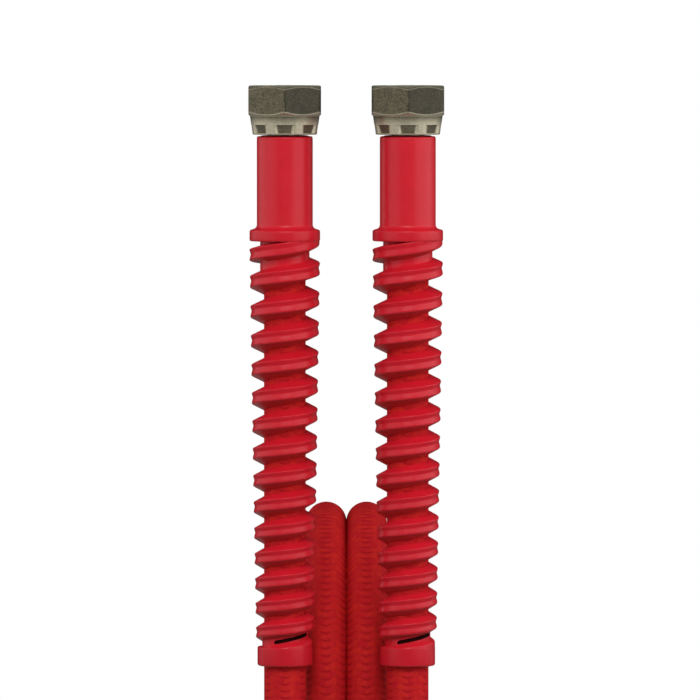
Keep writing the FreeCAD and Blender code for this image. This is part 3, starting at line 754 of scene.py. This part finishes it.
def carried_frames(places):
    """Two directions across the line at each place, carried along it without twist."""
    ahead = np.gradient(places, axis=0)
    ahead /= np.linalg.norm(ahead, axis=1)[:, None]
    front = np.array((0.0, -1.0, 0.0))
    fronts, sides = [], []
    for direction in ahead:
        front = front - direction * front.dot(direction)
        front /= np.linalg.norm(front)
        fronts.append(front)
        sides.append(np.cross(direction, front))
    return np.array(fronts), np.array(sides)


BRAID_STEP = 2.1 * MM
HOSE_RADIUS = 6.2 * MM
HOSE_SEGMENTS = 48
RING_SPACING = 1.05 * MM
# What the radius gains, in millimetres, at distances in metres from the nearest end, and the
# heights between which the gain sets in
SWELL_PLACES = (0, 0.0208, 0.0224, 0.172, 0.182)
SWELLS = (-0.16, -0.16, 0.14, 0.14, 0.115)
SWELL_HEIGHTS = (-0.225, -0.205)


def braid_turns(places, reached, fronts, sides):
    """How far the braid's map turns at each place, so that a line of tips faces the front."""
    column = 1 / BRAID_COLUMNS
    stations, turns = [], []
    for x_place, y_place in ((0, 0), (INNER, SETBACK), (SPAN - INNER, SETBACK), (SPAN, 0)):
        nearest = np.linalg.norm(places - np.array((x_place, y_place, -0.2)), axis=1).argmin()
        facing = math.atan2(-sides[nearest][1], -fronts[nearest][1]) / (2 * math.pi)
        turn = -facing
        if turns:
            turn -= round((turn - turns[-1]) / column) * column
        stations.append(reached[nearest])
        turns.append(turn)
    return np.interp(reached, stations, turns)


def air_hose():
    """The braided hose from ferrule to ferrule, as one tube along its line."""
    line = hose_line()
    places, reached = evenly(line, RING_SPACING)
    fronts, sides = carried_frames(places)
    turns = braid_turns(places, reached, fronts, sides)

    # Ferrules pinch the hose's ends, and it is fullest in its upper strands
    from_end = np.minimum(reached, reached[-1] - reached)
    upper = np.interp(places[:, 2], SWELL_HEIGHTS, (0, 1))
    swell = np.interp(from_end, SWELL_PLACES, SWELLS) * MM
    radius = (HOSE_RADIUS + swell * upper)[:, None, None]
    angle = np.arange(HOSE_SEGMENTS) * 2 * math.pi / HOSE_SEGMENTS
    around = np.cos(angle)[None, :, None] * fronts[:, None, :]
    around += np.sin(angle)[None, :, None] * sides[:, None, :]
    points = places[:, None, :] + radius * around
    rows = len(places)
    faces = grid_faces(rows, HOSE_SEGMENTS, False, True)
    faces.append(tuple(reversed(range(HOSE_SEGMENTS))))
    faces.append(tuple(range((rows - 1) * HOSE_SEGMENTS, rows * HOSE_SEGMENTS)))
    piece = mesh_object("air_hose", points.reshape(-1, 3), faces, [braid_red])
    braid = piece.data.uv_layers.new(name="braid")
    corners = np.zeros((len(piece.data.loops), 2))
    quads = (rows - 1) * HOSE_SEGMENTS
    chevrons = -from_end / BRAID_STEP
    row, column = np.divmod(np.arange(quads), HOSE_SEGMENTS)
    for number, (down, right) in enumerate(((0, 0), (0, 1), (1, 1), (1, 0))):
        at = np.arange(quads) * 4 + number
        corners[at, 0] = (column + right) / HOSE_SEGMENTS + turns[row + down]
        corners[at, 1] = chevrons[row + down]
    braid.data.foreach_set("uv", corners.astype(np.float32).ravel())
    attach(piece, "root")
    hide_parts(*[f"{part}_hose_{layer}" for part in ("left", "hank", "right")
                         for layer in ("cover", "liner")])
    return piece, line


# Straps, in metres
STRAP_GAP = 0.15 * MM
STRAP_THICKNESS = 1.5 * MM
STRAP_WIDTH = 16 * MM
STRAP_LAP = 15 * MM
STRAP_SPACING = 0.8 * MM
# Points along the tape over which its lapped end rises
LAP_RAMP = 8


def wrap_outline(centres, radius, per_corner):
    """Points of the tight line round circles whose centres go anticlockwise from above."""
    points = []
    count = len(centres)
    for index in range(count):
        before, here, after = (Vector(centres[(index + k) % count]) for k in (-1, 0, 1))
        arriving, leaving = (here - before).normalized(), (after - here).normalized()
        start = math.atan2(-arriving.x, arriving.y)
        sweep = (math.atan2(-leaving.x, leaving.y) - start) % (2 * math.pi)
        for step in range(per_corner + 1):
            turn = start + sweep * step / per_corner
            points.append(here + Vector((math.cos(turn), math.sin(turn))) * radius)
    return points


def strap(name, node, centres, lap_start):
    """A fastening tape wrapped once round the strands, its free end lapped over itself."""
    low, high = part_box(node)
    middle = (low.z + high.z) / 2
    base = wrap_outline(centres, HOSE_RADIUS + STRAP_GAP, 10)
    base = base[lap_start:] + base[:lap_start]
    base, _ = evenly([(p.x, p.y, 0) for p in base + base[:1]], STRAP_SPACING)
    lap = int(STRAP_LAP / STRAP_SPACING)
    route = np.concatenate([base[:-1], base[:lap]])
    ahead = np.gradient(route, axis=0)
    ahead /= np.linalg.norm(ahead, axis=1)[:, None]
    across = np.stack([ahead[:, 1], -ahead[:, 0], np.zeros(len(ahead))], 1)
    lapped = len(base) - 1
    tape = STRAP_THICKNESS / 2
    section = eased([point(0, -0.5), point(1, -0.5), point(1, 0.5), point(0, 0.5)],
                    (0.03, 0.03, 0.03, 0.03), 3)
    points = []
    for index, place in enumerate(route):
        rise = min(max((index - lapped + LAP_RAMP) / LAP_RAMP, 0), 1) * tape
        for out, up in section:
            height = np.array((0, 0, middle + up * STRAP_WIDTH))
            points.append(place + across[index] * (rise + out * tape) + height)
    width = len(section)
    faces = grid_faces(len(route), width, False, True)
    faces.append(tuple(range(width)))
    faces.append(tuple(reversed(range((len(route) - 1) * width, len(route) * width))))
    piece = mesh_object(name, points, faces, [strap_black])
    outward(piece)
    sharpen(piece, 45)
    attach(piece, "root")
    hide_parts(node)
    return piece


def straps():
    """Two straps round the front strands and one round the back pair."""
    front = [(0, 0), (SPAN, 0), (SPAN - INNER, SETBACK), (INNER, SETBACK)]
    pair = [(INNER, BACK), (SPAN - INNER, BACK)]
    return [strap("upper_strap", "front_strap_upper", front, 4),
            strap("lower_strap", "front_strap_lower", front, 4),
            strap("rear_strap", "back_strap", pair, 16)]


for side in SIDES:
    swivel_nut(side)
bend_restrictors()
hose, hose_path = air_hose()
straps()

# Floor, light and camera
FLOOR_GAP = 0.03
FLOOR_RADIUS = 1.6
floor_height = cad_low.z - FLOOR_GAP
bpy.ops.mesh.primitive_circle_add(vertices=96, radius=FLOOR_RADIUS, fill_type="NGON",
                                  location=(END_SPAN / 2, 0.05, floor_height))
floor = bpy.context.object
floor.name = "floor"

# The floor looks pale, but throws little light up under the ribs
pale = Nodes("pale_floor")
scattered = pale.add("LightPath").outputs["Is Diffuse Ray"]
straight = pale.add("LightPath").outputs["Is Camera Ray"]
pale.set(Base_Color=pale.mix(scattered, (0.8, 0.8, 0.795), (0.26, 0.26, 0.258)),
         Roughness=0.8, Specular_IOR_Level=0.2, Emission_Color=(1, 1, 1, 1),
         Emission_Strength=pale.spread(straight, 0.0, 1.0, 0.0, 0.42))
floor.data.materials.append(pale.material)

# White to the camera; to the object it is brightest at both sides and dim behind
world = bpy.data.worlds.new("studio")
world.use_nodes = True
bpy.context.scene.world = world
studio = Tree(world.node_tree)
AMBIENT = 0.36
direction = studio.add("SeparateXYZ", {0: studio.add("TexCoord").outputs["Generated"]}).outputs
aside = studio.spread(studio.math("ABSOLUTE", direction[0]), 0.4, 0.85, 0.6, 1.5)
behind = studio.spread(direction[1], 0.5, 0.8, AMBIENT, AMBIENT * 0.15)
above = studio.spread(direction[2], 0.0, 1.0, 1.0, 0.5)
surrounding = studio.math("MULTIPLY", studio.math("MULTIPLY", aside, behind), above)
rays = studio.add("LightPath").outputs
seen = studio.math("MAXIMUM", rays["Is Camera Ray"], rays["Is Transmission Ray"])
background = studio.tree.nodes["Background"]
background.inputs["Color"].default_value = (1, 1, 1, 1)
studio.tree.links.new(studio.spread(seen, 0.0, 1.0, surrounding, 1.0),
                      background.inputs["Strength"])

AIM = Vector((19.8, 0, -80.35)) * MM


def softbox(name, place, size, power):
    """A rectangular area light that faces the hose ends."""
    lamp = bpy.data.lights.new(name, "AREA")
    lamp.shape = "RECTANGLE"
    lamp.size, lamp.size_y = size
    lamp.energy = power
    light = bpy.data.objects.new(name, lamp)
    light.location = AIM + Vector(place)
    light.rotation_euler = (-Vector(place)).to_track_quat("-Z", "Y").to_euler()
    bpy.context.scene.collection.objects.link(light)


softbox("front_light", (0.0, -0.63, 0.46), (0.5, 0.35), 3.0)
softbox("left_light", (-0.58, -0.22, 0.2), (0.95, 0.5), 1.3)
softbox("left_edge_light", (-0.5, 0.26, 0.2), (0.12, 0.5), 0.2)
softbox("right_light", (0.57, -0.21, 0.2), (1.05, 0.5), 2.5)

# The photograph's frame is 212.7 mm across at the hose ends
FRAME_WIDTH = 212.7 * MM
LENS = 450
SENSOR = 36
ELEVATION = math.radians(2.3)
lens = bpy.data.cameras.new("camera")
lens.lens = LENS
lens.sensor_width = SENSOR
camera = bpy.data.objects.new("camera", lens)
away = Vector((0, -math.cos(ELEVATION), math.sin(ELEVATION)))
camera.location = AIM + away * (FRAME_WIDTH * LENS / SENSOR)
camera.rotation_euler = (-away).to_track_quat("-Z", "Y").to_euler()
lens.clip_start, lens.clip_end = 0.1, 20
bpy.context.scene.collection.objects.link(camera)
bpy.context.scene.camera = camera
bpy.context.scene.view_settings.view_transform = "Standard"
